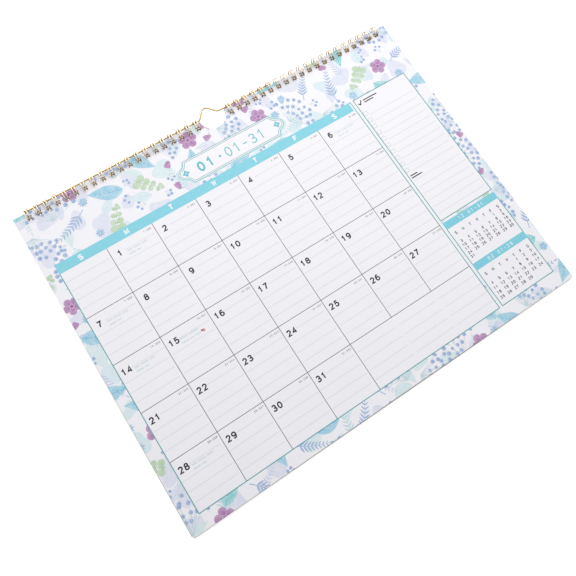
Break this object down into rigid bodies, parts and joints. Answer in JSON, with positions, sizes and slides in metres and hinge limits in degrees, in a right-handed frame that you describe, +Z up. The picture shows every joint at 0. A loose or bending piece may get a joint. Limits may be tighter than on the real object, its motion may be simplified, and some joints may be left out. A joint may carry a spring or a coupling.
{
  "type": "wall calendar",
  "caption": "Landscape wall calendar of leaves on twin-loop wire, with a backing board, a thumb notch and a wire hanger.",
  "frame": {"origin": "middle of the footprint on the table, midway between the foot of the page and the top of the hanger", "axes": "+X along the bound edge to the right of the printed page, +Y from the foot of the page to the bound edge, +Z up out of the printed page"},
  "size_m": [0.381, 0.3018, 0.0101],
  "materials": {
    "leaf_paper": "matt, printed",
    "grey_board": "matt",
    "gold_binding_wire": "gold, glossy",
    "gold_hanger_wire": "gold, glossy"
  },
  "bodies": {
    "binding": {"backing_board": "grey_board", "left_binding_wire": "gold_binding_wire", "right_binding_wire": "gold_binding_wire"},
    "pages": {"page_block": "leaf_paper"},
    "hanger": {"hanger_wire": "gold_hanger_wire"}
  },
  "joints": [
    {"name": "page_turn", "type": "hinge", "parent": "binding", "child": "pages", "pos_m": [0, 0.14065, 0.00484], "axis": [-1, 0, 0], "range_deg": [0, 120]},
    {"name": "hanger_swivel", "type": "hinge", "parent": "binding", "child": "hanger", "pos_m": [0, 0.142, 0.00489], "axis": [1, 0, 0], "continuous": true}
  ]
}
